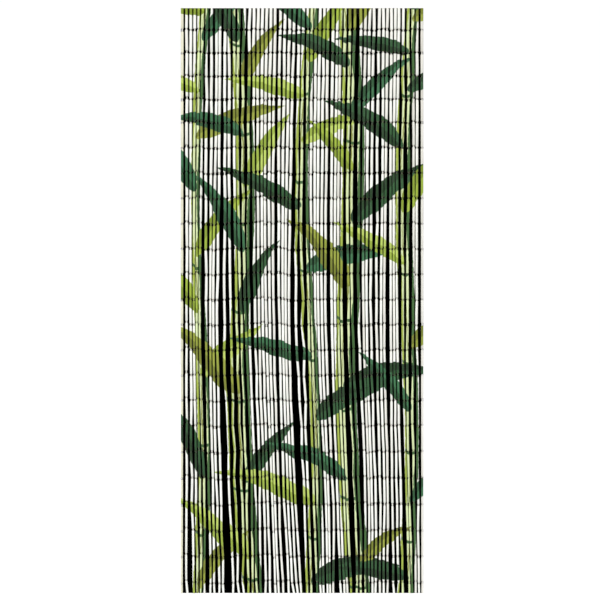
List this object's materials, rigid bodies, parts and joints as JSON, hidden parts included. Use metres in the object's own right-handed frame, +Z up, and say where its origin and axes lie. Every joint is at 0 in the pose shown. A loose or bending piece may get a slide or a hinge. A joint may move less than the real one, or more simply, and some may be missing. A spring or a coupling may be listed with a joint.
{
  "type": "bamboo door curtain",
  "caption": "Hanging door curtain of lacquered bamboo tubes strung end to end in separate chains, painted with green stems and leaves.",
  "frame": {"origin": "middle of the top edge, on the centre line of the strings, level with the lath's top", "axes": "+Z up, along the strings; +X along the lath, to the viewer's right; the painted front faces -Y and the lath's flat back faces +Y"},
  "size_m": [0.9, 0.0174, 2.169],
  "materials": {
    "lacquered_bamboo": "satin",
    "link_wire": "satin",
    "dark_lath": "satin"
  },
  "bodies": {
    "root": {"bamboo_strings": "lacquered_bamboo"}
  },
  "joints": []
}
